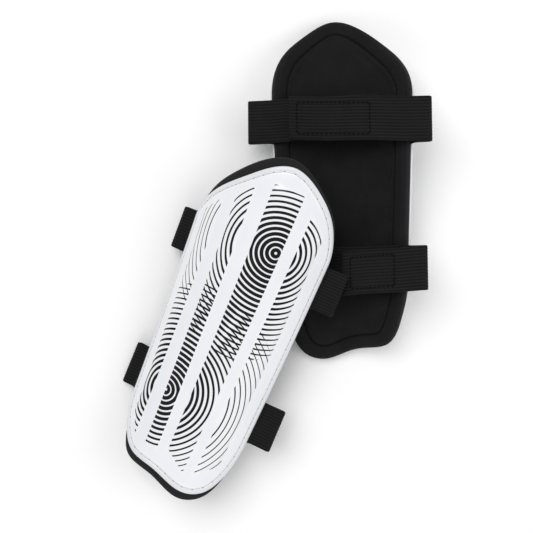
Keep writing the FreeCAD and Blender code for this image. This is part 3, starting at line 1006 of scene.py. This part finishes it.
def place_piece(piece, body, slot, *nodes, material=None):
    """Gives a piece its look, its body if one is given, and the CAD nodes it replaces."""
    piece.data.materials.append(material or MATERIALS[slot])
    if body:
        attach(piece, body)
    if nodes:
        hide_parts(*nodes)


SHELL_LOOP = outline(SHELL_TOP, SHELL_BOTTOM)
FOAM_LOOP = outline(FOAM_TOP, FOAM_BOTTOM)


def make_guard(letter):
    """Shell, foam, lining and the two seams that follow the outline."""
    guard = f"guard_{letter}"
    place_piece(shell_piece(letter, SHELL_LOOP), guard, "shell_white", f"{guard}_shell")
    foam = foam_piece(letter, FOAM_LOOP)
    place_piece(foam, guard, "foam_black", f"{guard}_foam_pad")
    lining = lining_piece(letter, FOAM_LOOP)
    place_piece(lining, guard, "lining_black", f"{guard}_lining")
    stitches, holes = seam(SHELL_LOOP, CHANNEL_AT, SHELL_OUT - CHANNEL_D, **RIM_SEAM, outwards=1)
    place_piece(threads(letter, f"{guard}_rim_thread", stitches, **RIM_THREAD), guard, "thread_grey",
                f"{guard}_rim_stitching")
    # The needle holes are shallow discs coloured with painted shade.
    place_piece(needle_holes(letter, f"{guard}_needle_holes", holes, SHELL_OUT - CHANNEL_D + 0.12),
                guard, "thread_grey", material=HOLE_SHADE_MATERIAL)
    stitches, _ = seam(FOAM_LOOP, GROOVE_AT, GROOVE_IN + 0.05, **GROOVE_SEAM, outwards=-1)
    place_piece(threads(letter, f"{guard}_groove_thread", stitches, **GROOVE_THREAD), guard,
                "thread_black")


def make_loop_side(letter, label):
    """The loop strap, sewn in at the right rim, and the loop tape on its free end."""
    guard = f"guard_{letter}"
    node = f"{guard}_{label}"
    station = STATIONS[label]
    loop_mid, tape_top, _, _ = levels(station)
    path = strap_path(1, station, LOOP_FOLD_R, LOOP_REACH, loop_mid, station["loop_end"])
    strap = ribbon(letter, f"{node}_loop_webbing", path, station)
    place_piece(strap, guard, "webbing_black", f"{node}_loop_strap")
    patch = tape(letter, f"{node}_loop_tape", station, (tape_top - TAPE_T, tape_top), 0, 0)
    place_piece(patch, guard, "loop_tape", f"{node}_loop_patch")


def make_hook_side(letter, label, tab_body):
    """The hook strap with its fold and tab, the hook tape under the tab and the box stitch."""
    guard = f"guard_{letter}"
    node = f"{guard}_{label}"
    slant = STATIONS[label]["slant"]
    _, _, hook_top, tab_mid = levels(STATIONS[label])
    fold_x = fold_place(STATIONS[label], -1, HOOK_FOLD_R, HOOK_REACH)
    station = dict(STATIONS[label])
    station["y"] += HOOK_SHIFT.get((letter, label), 0.0)
    path = strap_path(-1, station, HOOK_FOLD_R, HOOK_REACH, tab_mid, station["tab_end"])
    fold_end = np.linalg.norm(np.diff(path, axis=0), axis=1)[:-1].sum()
    strap = ribbon(letter, f"{node}_hook_webbing", path, station, slant, fold_end)
    patch = tape(letter, f"{node}_hook_tape", station, (hook_top - TAPE_T, hook_top), slant, fold_x)
    stitches = threads(letter, f"{node}_tab_thread", box_seam(station, tab_mid, slant, fold_x),
                       **BOX_THREAD)
    nodes = (f"{node}_hook_strap_root", f"{node}_hook_strap_tab")
    if tab_body == guard:
        place_piece(strap, guard, "webbing_black", *nodes)
    else:
        place_piece(strap, None, "webbing_black", *nodes)
        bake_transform(strap)
    place_piece(patch, tab_body, "hook_tape", f"{node}_hook_patch")
    place_piece(stitches, tab_body, "thread_black", f"{node}_hook_patch_stitching")


for letter in LAY:
    make_guard(letter)
for (letter, label), tab_body in TAB_BODIES.items():
    make_loop_side(letter, label)
    make_hook_side(letter, label, tab_body)


# Floor, light and camera.

def make_floor():
    corners = [(x * FLOOR_HALF, y * FLOOR_HALF, 0) for x, y in ((-1, -1), (1, -1), (1, 1), (-1, 1))]
    floor = make_object("studio_floor", corners, [(0, 1, 2, 3)])
    floor.data.materials.append(floor_material())


def soft_light(name, place, power, size):
    """Square area light aimed at the middle of the pair."""
    data = bpy.data.lights.new(name, "AREA")
    data.energy = power
    data.size = size
    lamp = bpy.data.objects.new(name, data)
    lamp.location = place
    lamp.rotation_euler = (-Vector(place)).to_track_quat("-Z", "Y").to_euler()
    bpy.context.scene.collection.objects.link(lamp)


def make_camera():
    """Camera above the pair, looking straight down."""
    data = bpy.data.cameras.new("camera")
    data.lens = CAMERA_LENS
    data.sensor_width = CAMERA_SENSOR
    camera = bpy.data.objects.new("camera", data)
    camera.location = CAMERA_PLACE
    bpy.context.scene.collection.objects.link(camera)
    bpy.context.scene.camera = camera


make_floor()
for name, (place, power, size) in LIGHTS.items():
    soft_light(name, place, power, size)
make_camera()

scene = bpy.context.scene
scene.view_settings.view_transform = "Standard"
scene.world = bpy.data.worlds.new("studio_world")
scene.world.use_nodes = True
sky = scene.world.node_tree.nodes["Background"]
sky.inputs["Color"].default_value = (1.0, 1.0, 1.0, 1)
sky.inputs["Strength"].default_value = WORLD_STRENGTH
